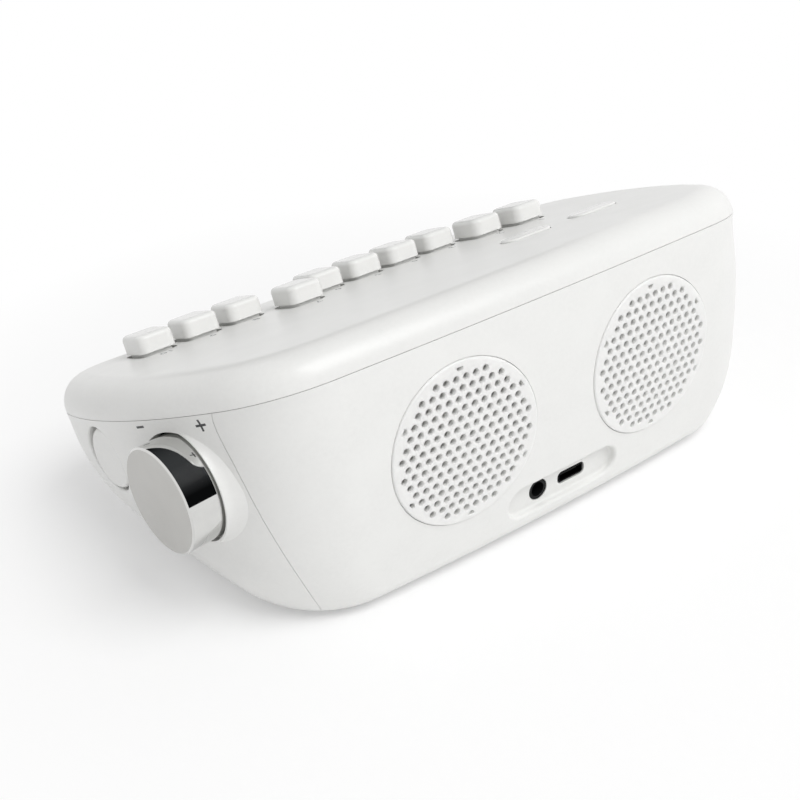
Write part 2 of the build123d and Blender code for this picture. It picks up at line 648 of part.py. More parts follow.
# ================================================================ keys, mat and key board
def rounded_key(place, outline, flange, top, edge_r):
    """Push key: a cap with a rounded top over a flange that the cover holds in."""
    cap = extrude(place * Pos(0, 0, FLANGE_LOW) * outline, top - FLANGE_LOW)
    crown = cap.faces().sort_by(Axis((0, 0, 0), PANEL.z_dir))[-1]
    cap = fillet(crown.edges(), edge_r)
    return cap + extrude(place * Pos(0, 0, FLANGE_LOW) * flange, FLANGE_THICK)


def build_key(x, down):
    outline = RectangleRounded(KEY_WIDTH, KEY_DEPTH, KEY_CORNER_R)
    flange = RectangleRounded(
        KEY_WIDTH + 2 * KEY_FLANGE, KEY_DEPTH + 2 * KEY_FLANGE, KEY_CORNER_R + KEY_FLANGE
    )
    place = PANEL * Pos(x, -down, 0)
    key = rounded_key(place, outline, flange, COVER_HEIGHT + KEY_HEIGHT, KEY_TOP_R)
    stem = RectangleRounded(
        KEY_WIDTH - 2 * KEY_UNDERCUT, KEY_DEPTH - 2 * KEY_UNDERCUT, KEY_CORNER_R - KEY_UNDERCUT
    )
    undercut = extrude(place * Pos(0, 0, FLANGE_TOP) * (outline - stem), COVER_HEIGHT + KEY_LIFT - FLANGE_TOP)
    return key - undercut


def build_function_button(x):
    outline = SlotOverall(FUNCTION_LENGTH, FUNCTION_WIDTH)
    flange = SlotOverall(FUNCTION_LENGTH + 2 * KEY_FLANGE, FUNCTION_WIDTH + 2 * KEY_FLANGE)
    place = PANEL * Pos(x, -FUNCTION_ROW, 0)
    top = COVER_HEIGHT + FUNCTION_PROUD
    return rounded_key(place, outline, flange, top, FUNCTION_PROUD)


def build_key_mat():
    """Silicone mat with a hollow dome under every key and function button."""
    sheet = extrude(PANEL * Pos(0, 0, KEY_BOARD_TOP) * key_area(KEY_BOARD_MARGIN / 2), MAT_THICK)
    for x, down in KEY_SCREWS:
        sheet -= post(PANEL, x, -down, KEY_BOSS_R + KEY_GAP, KEY_BOARD_TOP, CEILING)
    dome_top = FLANGE_LOW - DOME_GAP
    root = KEY_BOARD_TOP + MAT_THICK / 2
    places = [(x, down, KEY_TRAVEL) for _, x, down in key_places()]
    places += [(x, FUNCTION_ROW, FUNCTION_TRAVEL) for x in FUNCTION_X]
    for x, down, travel in places:
        sheet += PANEL * Pos(x, -down, root) * Cone(DOME_R, DOME_TOP_R, dome_top - root, align=UP)
        hollow_r = DOME_TOP_R - MAT_THICK / 2
        hollow_top = KEY_BOARD_TOP + travel + 2 * DOME_GAP
        sheet -= post(PANEL, x, -down, hollow_r, KEY_BOARD_TOP, hollow_top)
    return sheet


def build_key_board():
    low = KEY_BOARD_TOP - BOARD_THICK
    board = extrude(PANEL * Pos(0, 0, low) * key_area(KEY_BOARD_MARGIN), BOARD_THICK)
    for x, down in KEY_SCREWS:
        board -= post(PANEL, x, -down, SMALL_SCREW_R + SCREW_FIT, low, KEY_BOARD_TOP)
    return board


# ================================================================ knob, potentiometer, power button
def build_knob():
    low = KNOB_LIFT - RECESS_DEEP
    knob = post(END, 0, 0, KNOB_R, low, KNOB_HEIGHT)
    rim = knob.edges().filter_by(GeomType.CIRCLE).sort_by(Axis((0, 0, 0), END.z_dir))[-1]
    knob = fillet(rim, KNOB_EDGE_R)
    cavity_top = -RECESS_DEEP + NUT_THICK + 2 * KNOB_FIT
    knob -= post(END, 0, 0, KNOB_CAVITY_R, low, cavity_top)
    return knob - post(END, 0, 0, SHAFT_R + SHAFT_FIT, low, SHAFT_TOP + KNOB_FIT)


def build_pot():
    """Square potentiometer body with the bush that stands through the end cap."""
    half = POT_SIDE / 2
    top = end_board_front() + POT_DEEP
    body = block(END, (-half, half), (-half, half), (end_board_front(), top))
    body += post(END, 0, 0, BUSH_R, top, BUSH_TOP)
    return body - post(END, 0, 0, SHAFT_R + PLUNGER_FIT, end_board_front() + WALL, BUSH_TOP)


def build_shaft():
    return post(END, 0, 0, SHAFT_R, end_board_front() + WALL + PLUNGER_FIT, SHAFT_TOP)


def build_nut():
    nut = END * Pos(0, 0, -RECESS_DEEP) * extrude(RegularPolygon(NUT_R, 6), NUT_THICK)
    return nut - post(END, 0, 0, BUSH_R + THREAD_FIT, -RECESS_DEEP, 0)


def switch_top():
    return end_board_front() + SWITCH_DEEP


def build_power_button():
    """Round push button with a retaining flange, a stem and the switch's plunger on its end."""
    stem_low = switch_top() + BUTTON_TRAVEL + KEY_GAP
    cap = post(END, BUTTON_Y, BUTTON_Z, BUTTON_R, BUTTON_FLANGE_TOP, BUTTON_TOP)
    rim = cap.edges().filter_by(GeomType.CIRCLE).sort_by(Axis((0, 0, 0), END.z_dir))[-1]
    cap = fillet(rim, BUTTON_EDGE_R)
    flange_low = BUTTON_FLANGE_TOP - FLANGE_THICK
    flange_r = BUTTON_R + BUTTON_FLANGE
    cap += post(END, BUTTON_Y, BUTTON_Z, flange_r, flange_low, BUTTON_FLANGE_TOP)
    cap += post(END, BUTTON_Y, BUTTON_Z, STEM_R, stem_low, flange_low)
    reach = SWITCH_DEEP - BUTTON_TRAVEL
    return cap + post(END, BUTTON_Y, BUTTON_Z, PLUNGER_R, stem_low - reach, stem_low)


def build_power_switch():
    half = SWITCH_SIDE / 2
    low, top = end_board_front(), switch_top()
    y_range = (BUTTON_Y - half, BUTTON_Y + half)
    body = block(END, y_range, (BUTTON_Z - half, BUTTON_Z + half), (low, top))
    return body - post(END, BUTTON_Y, BUTTON_Z, PLUNGER_R + PLUNGER_FIT, low + KEY_GAP / 2, top)


def build_end_board():
    low, top = end_board_front() - BOARD_THICK, end_board_front()
    tall = (END_BOARD_NECK_Y, END_BOARD_FRONT_Y)
    board = block(END, tall, (END_BOARD_LOW, END_BOARD_HIGH), (low, top))
    whole = (END_BOARD_BACK_Y, END_BOARD_FRONT_Y)
    board += block(END, whole, (END_BOARD_LOW, END_BOARD_NECK_HIGH), (low, top))
    for x, y in end_board_screws():
        board -= post(END, x, y, SMALL_SCREW_R + SCREW_FIT, low, top)
    return board


# ================================================================ grilles and speakers
def ring_y(x, z, outer, inner, near, far):
    """Plain ring about a line along Y."""
    return back_post(x, z, outer, near, far) - back_post(x, z, inner, near, far)


def build_grille(centre_x):
    """Perforated disc that follows the speaker face, with a ring and a flange behind it."""
    disc = back_post(centre_x, SPEAKER_Z, GRILLE_R, GRILLE_SEAT_Y, BACK_BULGE_Y + WALL)
    disc = disc & case_form(-GRILLE_PROUD)
    rim = disc.edges().sort_by(Axis.Y)[-1]
    disc = fillet(rim, GRILLE_EDGE_R)
    thin = disc - case_form(GRILLE_THICK - GRILLE_PROUD)
    inner = GRILLE_R - GRILLE_RING
    ring = disc - back_post(centre_x, SPEAKER_Z, inner, 0, BIG)
    flange_r = GRILLE_R + GRILLE_FLANGE
    flange = ring_y(centre_x, SPEAKER_Z, flange_r, inner, GRILLE_SEAT_Y, BACK_BULGE_Y)
    holes = Plane.XZ * Pos(centre_x, SPEAKER_Z) * Sketch(
        [Pos(x, z) * Circle(GRILLE_HOLE_R) for x, z in hole_pattern()]
    )
    thin -= back_prism(holes, GRILLE_SEAT_Y, BACK_BULGE_Y + WALL)
    return thin + ring + (flange & case_form(WALL + FLANGE_FIT))


def turned(centre_x, points):
    """Solid of revolution about a speaker's axis from radius-and-y points."""
    profile = make_face(Polyline(*[(centre_x + r, y) for r, y in points], close=True))
    level = Plane(origin=(0, 0, SPEAKER_Z), x_dir=(1, 0, 0), z_dir=(0, 0, 1))
    return revolve(level * profile, Axis((centre_x, 0, SPEAKER_Z), (0, 1, 0)))


def build_gasket(centre_x):
    inner = SPEAKER_R - SPEAKER_RIM
    near = GRILLE_SEAT_Y - GASKET_THICK
    return ring_y(centre_x, SPEAKER_Z, SPEAKER_R, inner, near, GRILLE_SEAT_Y)


def build_speaker_frame(centre_x):
    """Pressed steel basket: a flat rim and a cone down to the magnet."""
    front = GRILLE_SEAT_Y - GASKET_THICK
    rear = front - SPEAKER_SHEET
    rim_r = SPEAKER_R - SPEAKER_RIM
    floor = rear - BASKET_DEEP
    points = [
        (rim_r, front), (SPEAKER_R, front), (SPEAKER_R, rear), (rim_r + BASKET_WALL, rear),
        (BASKET_R + BASKET_WALL, floor), (COIL_R + 2 * COIL_GAP, floor),
        (COIL_R + 2 * COIL_GAP, floor + BASKET_WALL), (BASKET_R, floor + BASKET_WALL),
    ]
    return turned(centre_x, points)


def build_speaker_cone(centre_x):
    """Paper cone with its surround, dust cap and voice coil."""
    front = GRILLE_SEAT_Y - GASKET_THICK
    rim_r = SPEAKER_R - SPEAKER_RIM
    neck = front - BASKET_DEEP / 2
    coil_low = front - SPEAKER_SHEET - BASKET_DEEP - COIL_R + COIL_GAP
    points = [
        (0, neck + CONE_THICK), (COIL_R, neck + CONE_THICK), (rim_r - SURROUND_WIDTH, front),
        (rim_r, front), (rim_r, front + CONE_THICK), (rim_r - SURROUND_WIDTH, front + CONE_THICK),
        (COIL_R + COIL_WALL, neck + 2 * CONE_THICK), (0, neck + CONE_THICK + DUST_CAP_HEIGHT),
    ]
    cone = turned(centre_x, points)
    return cone + ring_y(centre_x, SPEAKER_Z, COIL_R, COIL_R - COIL_WALL, coil_low, neck + CONE_THICK)


def build_speaker_magnet(centre_x):
    """Ring magnet on a back plate, with the pole piece that the voice coil runs over."""
    top = GRILLE_SEAT_Y - GASKET_THICK - SPEAKER_SHEET - BASKET_DEEP
    plate = top - MAGNET_DEEP
    slot = ring_y(
        centre_x, SPEAKER_Z, COIL_R + COIL_GAP, COIL_R - COIL_WALL - COIL_GAP, plate + WALL, top
    )
    return back_post(centre_x, SPEAKER_Z, MAGNET_R, plate, top) - slot


# ================================================================ main board and sockets
def build_main_board():
    half = MAIN_BOARD_HALF
    y_range = (MAIN_BOARD_FRONT_Y, MAIN_BOARD_BACK_Y)
    top = BOARD_TOP
    board = block(Plane.XY, (-half, half), y_range, (MAIN_BOARD_Z, top))
    for x, y in main_screw_places():
        board -= post(Plane.XY, x, y, SMALL_SCREW_R + SCREW_FIT, MAIN_BOARD_Z, top)
    return board


def build_jack():
    """Headphone socket: a black box on the board with a round nose that fills the opening."""
    top = BOARD_TOP
    half = JACK_WIDTH / 2
    y_range = (JACK_BODY_Y - JACK_DEEP, JACK_BODY_Y)
    body = block(Plane.XY, (JACK_X - half, JACK_X + half), y_range, (top, top + JACK_HEIGHT))
    nose_r = JACK_OPENING_R - JACK_NOSE_FIT
    body += back_post(JACK_X, PORT_Z, nose_r, JACK_BODY_Y - JACK_BACK, PORT_FRONT_Y)
    return body - back_post(JACK_X, PORT_Z, JACK_BORE_R, JACK_BODY_Y - JACK_DEEP + JACK_BACK, PORT_FRONT_Y)


def build_usb_shell():
    """Folded steel shell of the power socket, with the feet that lift it off the board."""
    top = BOARD_TOP
    front = PORT_FRONT_Y
    width, height = USB_SHELL
    outline = Plane.XZ * Pos(USB_X, PORT_Z) * RectangleRounded(width, height, USB_SHELL_R)
    inside = Plane.XZ * Pos(USB_X, PORT_Z) * RectangleRounded(
        width - 2 * USB_SHEET, height - 2 * USB_SHEET, USB_SHELL_R - USB_SHEET
    )
    shell = back_prism(outline, front - USB_DEEP, front)
    shell -= back_prism(inside, front - USB_DEEP + USB_SHEET, front)
    foot_y = (front - USB_DEEP, MAIN_BOARD_BACK_Y)
    for side in (-1, 1):
        edge = USB_X + side * (width / 2 - USB_FOOT_INSET)
        foot_x = (edge - USB_SHEET, edge + USB_SHEET)
        shell += block(Plane.XY, foot_x, foot_y, (top, PORT_Z - height / 2 + USB_SHEET / 2))
    return shell


def build_usb_tongue():
    front = PORT_FRONT_Y
    half = USB_TONGUE_WIDTH / 2
    y_range = (front - USB_DEEP + USB_SHEET, front - 2 * USB_SHEET)
    return block(
        Plane.XY, (USB_X - half, USB_X + half), y_range, (PORT_Z, PORT_Z + 2 * USB_SHEET)
    )


def build_chips():
    top = BOARD_TOP
    return Compound([
        block(Plane.XY, (x - w / 2, x + w / 2), (y - d / 2, y + d / 2), (top, top + h))
        for x, y, w, d, h in CHIPS
    ])


def build_capacitors():
    top = BOARD_TOP
    cans = []
    for x, y in CAPACITORS:
        can = post(Plane.XY, x, y, CAPACITOR_R, top, top + CAPACITOR_HEIGHT)
        cans.append(fillet(can.edges().sort_by(Axis.Z)[-1], CAPACITOR_EDGE_R))
    return Compound(cans)


# ================================================================ fasteners, feet and leads
def build_case_screws():
    below = Plane(origin=(0, 0, 0), x_dir=(1, 0, 0), z_dir=(0, 0, -1))
    seat = -FOOT_PROUD - HEAD_SUNK
    return Compound([
        screw(below, x, -y, seat, CASE_SCREW_LENGTH, CASE_SCREW_R, CASE_HEAD_R, CASE_HEAD_THICK)
        for x, y in CASE_SCREWS
    ])


def small_screw(plane, x, y, seat):
    return screw(
        plane, x, y, seat, SMALL_SCREW_LENGTH, SMALL_SCREW_R, SMALL_HEAD_R, SMALL_HEAD_THICK
    )


def build_main_screws():
    seat = MAIN_BOARD_Z + BOARD_THICK
    return Compound([small_screw(Plane.XY, x, y, seat) for x, y in main_screw_places()])


def build_key_screws():
    under = Plane(origin=PANEL.origin, x_dir=(1, 0, 0), z_dir=-PANEL.z_dir)
    seat = BOARD_THICK - KEY_BOARD_TOP
    return Compound([small_screw(under, x, down, seat) for x, down in KEY_SCREWS])


def build_end_screws():
    rear = Plane(origin=END.origin, x_dir=END.x_dir, z_dir=-END.z_dir)
    seat = BOARD_THICK - end_board_front()
    return Compound([small_screw(rear, x, -y, seat) for x, y in end_board_screws()])


def build_speaker_screws():
    """Washer-head screws beside the speakers, whose heads hold the flanges down."""
    seat = -speaker_back_y()
    return Compound([
        screw(
            Plane.XZ, x, z, seat, SPEAKER_SCREW_LENGTH, SMALL_SCREW_R, WASHER_HEAD_R, SMALL_HEAD_THICK
        )
        for centre_x in (-SPEAKER_X, SPEAKER_X)
        for x, z in speaker_screw_places(centre_x)
    ])


def build_feet():
    feet = []
    for x, y in FEET:
        foot = post(Plane.XY, x, y, FOOT_R, 0, FOOT_PROUD + FOOT_SUNK)
        feet.append(fillet(foot.edges().sort_by(Axis.Z)[0], FOOT_EDGE_R))
    return Compound(feet)


def build_connectors():
    """Ribbon sockets: under the key board, behind the end board and two on the main board."""
    half = KEY_RIBBON_WIDTH / 2 + SOCKET_MARGIN
    key_x = (KEY_RIBBON_X - half, KEY_RIBBON_X + half)
    key_low = KEY_BOARD_TOP - BOARD_THICK
    key_y = (-KEY_SOCKET_ROW - SOCKET_DEEP / 2, -KEY_SOCKET_ROW + SOCKET_DEEP / 2)
    top = BOARD_TOP
    main_y = (MAIN_SOCKET_Y - SOCKET_DEEP / 2, MAIN_SOCKET_Y + SOCKET_DEEP / 2)
    end_half = END_RIBBON_WIDTH / 2 + SOCKET_MARGIN
    end_x, end_y = END_SOCKET
    end_low = end_board_front() - BOARD_THICK
    side_x = (SIDE_SOCKET_X - SOCKET_DEEP / 2, SIDE_SOCKET_X + SOCKET_DEEP / 2)
    side_y = (END_RIBBON_Y - end_half, END_RIBBON_Y + end_half)
    end_range = (end_x - end_half, end_x + end_half)
    end_rise = (end_y - SOCKET_DEEP / 2, end_y + SOCKET_DEEP / 2)
    return Compound([
        block(PANEL, key_x, key_y, (key_low - SOCKET_HEIGHT, key_low)),
        block(Plane.XY, key_x, main_y, (top, top + SOCKET_HEIGHT)),
        block(Plane.XY, side_x, side_y, (top, top + SOCKET_HEIGHT)),
        block(END, end_range, end_rise, (end_low - SOCKET_HEIGHT, end_low)),
    ])


def strip(plane, points, shift, width):
    """Flat ribbon: a path in a plane, thickened by a shift and swept to a width on both sides."""
    moved = [(u + shift[0], v + shift[1]) for u, v in reversed(points)]
    return extrude(plane * make_face(Polyline(*points, *moved, close=True)), width / 2, both=True)


def build_key_ribbon():
    low = KEY_BOARD_TOP - BOARD_THICK - SOCKET_HEIGHT
    start = PANEL.from_local_coords((0, -KEY_SOCKET_ROW, low))
    end_z = BOARD_TOP + SOCKET_HEIGHT
    top_z = start.Z - RIBBON_GAP
    points = [
        (start.Y, top_z), (start.Y, top_z - RIBBON_BEND),
        (MAIN_SOCKET_Y, end_z + RIBBON_BEND), (MAIN_SOCKET_Y, end_z),
    ]
    plane = Plane(origin=(KEY_RIBBON_X, 0, 0), x_dir=(0, 1, 0), z_dir=(1, 0, 0))
    return strip(plane, points, (RIBBON_THICK, 0), KEY_RIBBON_WIDTH)


def build_end_ribbon():
    low = end_board_front() - BOARD_THICK - SOCKET_HEIGHT
    start = END.from_local_coords((END_SOCKET[0], END_SOCKET[1], low))
    end_x = SIDE_SOCKET_X + SOCKET_DEEP / 2
    end_z = BOARD_TOP + SOCKET_HEIGHT / 2
    start_x = start.X - 2 * RIBBON_GAP
    points = [
        (start_x, start.Z), (start_x - RIBBON_BEND, start.Z), (end_x + RIBBON_BEND, end_z),
        (end_x, end_z),
    ]
    plane = Plane(origin=(0, END_RIBBON_Y, 0), x_dir=(1, 0, 0), z_dir=(0, -1, 0))
    return strip(plane, points, (0, RIBBON_THICK), END_RIBBON_WIDTH)


def build_speaker_leads():
    """Two leads from each speaker's basket down to the main board."""
    rear = speaker_back_y()
    rim_r = SPEAKER_R - SPEAKER_RIM + BASKET_WALL
    foot_r = BASKET_R + BASKET_WALL
    basket_r = rim_r - (rear - LEAD_Y) * (rim_r - foot_r) / BASKET_DEEP
    near_r = basket_r + (rim_r - foot_r) / BASKET_DEEP * LEAD_R
    low = MAIN_BOARD_Z + BOARD_THICK
    high = SPEAKER_Z - sqrt(near_r ** 2 - (LEAD_OFFSET - LEAD_R) ** 2) - RIBBON_GAP / 2
    return Compound([
        post(Plane.XY, centre_x + side * LEAD_OFFSET, LEAD_Y, LEAD_R, low, high)
        for centre_x in (-SPEAKER_X, SPEAKER_X)
        for side in (-1, 1)
    ])


# ================================================================ all pieces, one file each
def build_pieces():
    housing, cap = build_case()
    pieces = {
        "lower_housing": housing,
        "right_end_cap": cap,
        "top_cover": build_cover(),
        "key_mat": build_key_mat(),
        "key_board": build_key_board(),
        "volume_knob": build_knob(),
        "volume_pot": build_pot(),
        "volume_shaft": build_shaft(),
        "pot_nut": build_nut(),
        "power_button": build_power_button(),
        "power_switch": build_power_switch(),
        "end_board": build_end_board(),
        "main_board": build_main_board(),
        "headphone_jack": build_jack(),
        "usb_socket_shell": build_usb_shell(),
        "usb_socket_tongue": build_usb_tongue(),
        "main_board_chips": build_chips(),
        "main_board_capacitors": build_capacitors(),
        "ribbon_sockets": build_connectors(),
        "key_ribbon": build_key_ribbon(),
        "end_ribbon": build_end_ribbon(),
        "speaker_leads": build_speaker_leads(),
        "case_screws": build_case_screws(),
        "main_board_screws": build_main_screws(),
        "key_board_screws": build_key_screws(),
        "end_board_screws": build_end_screws(),
        "speaker_screws": build_speaker_screws(),
        "rubber_feet": build_feet(),
    }
    for side, centre_x in (("left", -SPEAKER_X), ("right", SPEAKER_X)):
        pieces[f"{side}_grille"] = build_grille(centre_x)
        pieces[f"{side}_speaker_gasket"] = build_gasket(centre_x)
        pieces[f"{side}_speaker_frame"] = build_speaker_frame(centre_x)
        pieces[f"{side}_speaker_cone"] = build_speaker_cone(centre_x)
        pieces[f"{side}_speaker_magnet"] = build_speaker_magnet(centre_x)
    for name, x, down in key_places():
        pieces[name] = build_key(x, down)
    for name, x in zip(("function_button_1", "function_button_2"), FUNCTION_X):
        pieces[name] = build_function_button(x)
    return pieces


def main():
    os.makedirs("parts", exist_ok=True)
    for name, piece in build_pieces().items():
        export_step(piece, f"parts/{name}.step")


if __name__ == "__main__":
    main()
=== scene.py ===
"""Looks of a tabletop sound machine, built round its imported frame. Metres, in the frame's own axes."""

import json
import logging
import math
from dataclasses import dataclass
from enum import Enum
from typing import Any

import bmesh
import bpy
from mathutils import Matrix, Vector


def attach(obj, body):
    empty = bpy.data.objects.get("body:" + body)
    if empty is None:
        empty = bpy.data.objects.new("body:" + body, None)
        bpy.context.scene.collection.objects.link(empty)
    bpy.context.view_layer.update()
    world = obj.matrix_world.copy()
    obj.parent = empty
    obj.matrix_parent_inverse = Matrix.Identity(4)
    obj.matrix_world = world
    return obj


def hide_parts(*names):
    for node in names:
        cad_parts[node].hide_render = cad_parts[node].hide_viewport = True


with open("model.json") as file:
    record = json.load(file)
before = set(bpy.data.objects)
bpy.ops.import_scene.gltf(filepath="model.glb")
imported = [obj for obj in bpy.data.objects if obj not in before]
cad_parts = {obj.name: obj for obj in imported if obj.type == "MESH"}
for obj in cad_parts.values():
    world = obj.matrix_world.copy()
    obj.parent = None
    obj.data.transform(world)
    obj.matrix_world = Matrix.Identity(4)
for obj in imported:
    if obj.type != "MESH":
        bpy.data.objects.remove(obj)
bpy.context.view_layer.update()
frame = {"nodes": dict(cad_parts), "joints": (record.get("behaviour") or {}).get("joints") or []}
NODES = frame["nodes"]
JOINTS = {joint["name"]: joint for joint in frame["joints"]}
KEYS = sorted(name for name in NODES if name.startswith("key_") and name[4:].isdigit())
MM = 0.001
MERGE_DISTANCE = 0.0005 * MM
LOG = logging.getLogger("sound_machine")


# ---------------------------------------------------------------- small helpers
def linear(colour: str) -> tuple[float, float, float, float]:
    """Turns an sRGB hex colour into linear light.

    Args:
        colour: Six hex digits after a hash.

    Returns:
        Red, green, blue and an alpha of 1.
    """
    channels = [int(colour[start:start + 2], 16) / 255 for start in (1, 3, 5)]
    red, green, blue = [
        value / 12.92 if value <= 0.04045 else ((value + 0.055) / 1.055) ** 2.4 for value in channels
    ]
    return red, green, blue, 1.0


def add_node(
    tree: bpy.types.NodeTree, kind: str, inputs: dict[str, Any] | None = None, **settings: Any
) -> bpy.types.Node:
    """Adds a shader node with its settings, values and links.

    Args:
        tree: Node tree that gets the node.
        kind: Blender's name of the node's type.
        inputs: Value or source socket for each named input.
        settings: Properties of the node itself.

    Returns:
        The new node.
    """
    node = tree.nodes.new(kind)
    for name, value in settings.items():
        setattr(node, name, value)
    for name, value in (inputs or {}).items():
        if isinstance(value, bpy.types.NodeSocket):
            tree.links.new(value, node.inputs[name])
        else:
            node.inputs[name].default_value = value
    return node


def add_ramp(tree: bpy.types.NodeTree, factor: bpy.types.NodeSocket, stops: list) -> bpy.types.NodeSocket:
    """Maps a factor to colours.

    Args:
        tree: Node tree that gets the ramp.
        factor: Socket with the factor.
        stops: Position and linear colour of two or more stops.

    Returns:
        The colour socket.
    """
    ramp = add_node(tree, "ShaderNodeValToRGB", {"Fac": factor})
    elements = ramp.color_ramp.elements
    while len(elements) < len(stops):
        elements.new(1.0)
    for element, (position, colour) in zip(elements, stops):
        element.position = position
        element.color = colour
    return ramp.outputs["Color"]


def finish_mesh(shape: bmesh.types.BMesh, name: str, smooth_angle: float = 35.0) -> bpy.types.Object:
    """Turns a bmesh into an object at the origin, with outward normals.

    Args:
        shape: The closed shape, in place.
        name: Name of the piece.
        smooth_angle: Edges sharper than this, in degrees, stay sharp.

    Returns:
        The new object, linked to the scene.
    """
    bmesh.ops.remove_doubles(shape, verts=shape.verts, dist=MERGE_DISTANCE)
    bmesh.ops.recalc_face_normals(shape, faces=shape.faces)
    for face in shape.faces:
        face.smooth = True
    for edge in shape.edges:
        edge.smooth = len(edge.link_faces) == 2 and edge.calc_face_angle() < math.radians(smooth_angle)
    mesh = bpy.data.meshes.new(name)
    shape.to_mesh(mesh)
    shape.free()
    piece = bpy.data.objects.new(name, mesh)
    bpy.context.scene.collection.objects.link(piece)
    return piece


# ---------------------------------------------------------------- finishes
CLOUD_MM = 9.0              # size of the slow, faint changes over any surface
COLOUR_STOPS = (0.1, 0.7)   # pattern strengths that give the main colour and the second one
LINE_STRETCH = 20.0         # a drawn line is this much longer than it is wide
TRACK_PITCH = 4.0           # tracks lie this many of their own size apart
TRACK_WIDTH = 0.03
TRACK_BLUR = 0.2
MASK_DARK = (0.0, 0.0, 0.0, 1.0)
MASK_LIGHT = (0.2, 0.2, 0.2, 1.0)
TRACK_LIGHT = (1.0, 1.0, 1.0, 1.0)
WAVE_STEP = 6.3             # radians from one conductor to the next
SKIN_DETAIL = 3.0
SKIN_CHANGE = 0.5


class Pattern(Enum):
    """What breaks up a surface."""

    SKIN = "soft skin of a moulding"
    BRUSHED = "fine parallel lines"
    GRIT = "grains"
    TRACKS = "copper tracks under solder mask"
    STRIPES = "parallel conductors"


@dataclass(frozen=True)
class Finish:
    """A surface finish: two close colours, a pattern at its real size, and how it shines.

    Attributes:
        name: The real material.
        colour: Main colour, sRGB hex.
        shade: Second colour, which the pattern brings in.
        roughness: Roughness of the surface.
        pattern: What breaks it up.
        size_mm: Real size of one grain, line or skin cell.
        relief_mm: Depth of the pattern.
        ior: Index of refraction.
        metallic: 1 for bare metal.
        coat: Share of a clear gloss coat.
        spread: How far the roughness varies each way.
        depth_mm: How far light travels inside it; 0 for an opaque material.
    """

    name: str
    colour: str
    shade: str
    roughness: float
    pattern: Pattern
    size_mm: float
    relief_mm: float
    ior: float = 1.5
    metallic: float = 0.0
    coat: float = 0.0
    spread: float = 0.04
    depth_mm: float = 0.0

    def factor(self, tree: bpy.types.NodeTree, place: bpy.types.NodeSocket) -> bpy.types.NodeSocket:
        """Draws the pattern.

        Args:
            tree: Node tree of the material.
            place: Object coordinates.

        Returns:
            A socket from 0 to 1.
        """
        per_metre = 1 / (self.size_mm * MM)
        if self.pattern is Pattern.BRUSHED:
            along = per_metre / LINE_STRETCH
            stretched = add_node(tree, "ShaderNodeMapping", {
                "Vector": place, "Scale": (along, per_metre, along),
            })
            noise = add_node(tree, "ShaderNodeTexNoise", {"Vector": stretched.outputs[0], "Scale": 1.0})
            return noise.outputs["Fac"]
        if self.pattern is Pattern.GRIT:
            cells = add_node(tree, "ShaderNodeTexVoronoi", {"Vector": place, "Scale": per_metre})
            return cells.outputs["Distance"]
        if self.pattern is Pattern.TRACKS:
            bricks = add_node(tree, "ShaderNodeTexBrick", {
                "Vector": place, "Scale": per_metre / TRACK_PITCH,
                "Mortar Size": TRACK_WIDTH, "Mortar Smooth": TRACK_BLUR,
                "Color1": MASK_DARK, "Color2": MASK_LIGHT, "Mortar": TRACK_LIGHT,
            })
            return bricks.outputs["Color"]
        if self.pattern is Pattern.STRIPES:
            waves = add_node(tree, "ShaderNodeTexWave", {"Vector": place, "Scale": per_metre / WAVE_STEP})
            return waves.outputs["Fac"]
        noise = add_node(tree, "ShaderNodeTexNoise", {
            "Vector": place, "Scale": per_metre, "Detail": SKIN_DETAIL, "Roughness": SKIN_CHANGE,
        })
        return noise.outputs["Fac"]

    def material(self) -> bpy.types.Material:
        """Builds the material once, and gives the same one after that."""
        known = bpy.data.materials.get(self.name)
        if known:
            return known
        material = bpy.data.materials.new(self.name)
        material.use_nodes = True
        tree = material.node_tree
        tree.nodes.clear()
        place = add_node(tree, "ShaderNodeTexCoord").outputs["Object"]
        factor = self.factor(tree, place)
        clouds = add_node(tree, "ShaderNodeTexNoise", {"Vector": place, "Scale": 1 / (CLOUD_MM * MM)})
        mixed = add_node(
            tree, "ShaderNodeMath", {0: factor, 1: clouds.outputs["Fac"]}, operation="MULTIPLY"
        )
        main_stop, shade_stop = COLOUR_STOPS
        colour = add_ramp(
            tree, mixed.outputs[0], [(main_stop, linear(self.colour)), (shade_stop, linear(self.shade))]
        )
        roughness = add_node(tree, "ShaderNodeMapRange", {
            "Value": clouds.outputs["Fac"],
            "To Min": self.roughness - self.spread,
            "To Max": self.roughness + self.spread,
        })
        bump = add_node(tree, "ShaderNodeBump", {
            "Height": factor, "Distance": self.relief_mm * MM, "Strength": 1.0,
        })
        surface = add_node(tree, "ShaderNodeBsdfPrincipled", {
            "Base Color": colour,
            "Roughness": roughness.outputs["Result"],
            "Normal": bump.outputs["Normal"],
            "Metallic": self.metallic,
            "IOR": self.ior,
            "Coat Weight": self.coat,
            "Subsurface Weight": 1.0 if self.depth_mm else 0.0,
            "Subsurface Radius": (1.0, 1.0, 1.0),
            "Subsurface Scale": self.depth_mm * MM,
        })
        add_node(tree, "ShaderNodeOutputMaterial", {"Surface": surface.outputs["BSDF"]})
        return material


# Injection-moulded ABS, satin: an even off-white with a soft sheen and a faintly uneven skin.
CASE_ABS = Finish("white_abs_case", "#ECECEA", "#E6E6E4", 0.30, Pattern.SKIN, 0.9, 0.002, ior=1.54)
# The same ABS from polished tools: the keys and buttons shine a little more.
KEY_ABS = Finish("white_abs_keys", "#EEEEEC", "#E8E8E6", 0.24, Pattern.SKIN, 0.7, 0.0015, ior=1.54)
# The grille discs: the same ABS with a duller skin, thin enough between the holes to let light through.
GRILLE_ABS = Finish(
    "white_abs_grille", "#F2F2F0", "#ECECEA", 0.36, Pattern.SKIN, 0.5, 0.002, ior=1.54, depth_mm=1.4
)
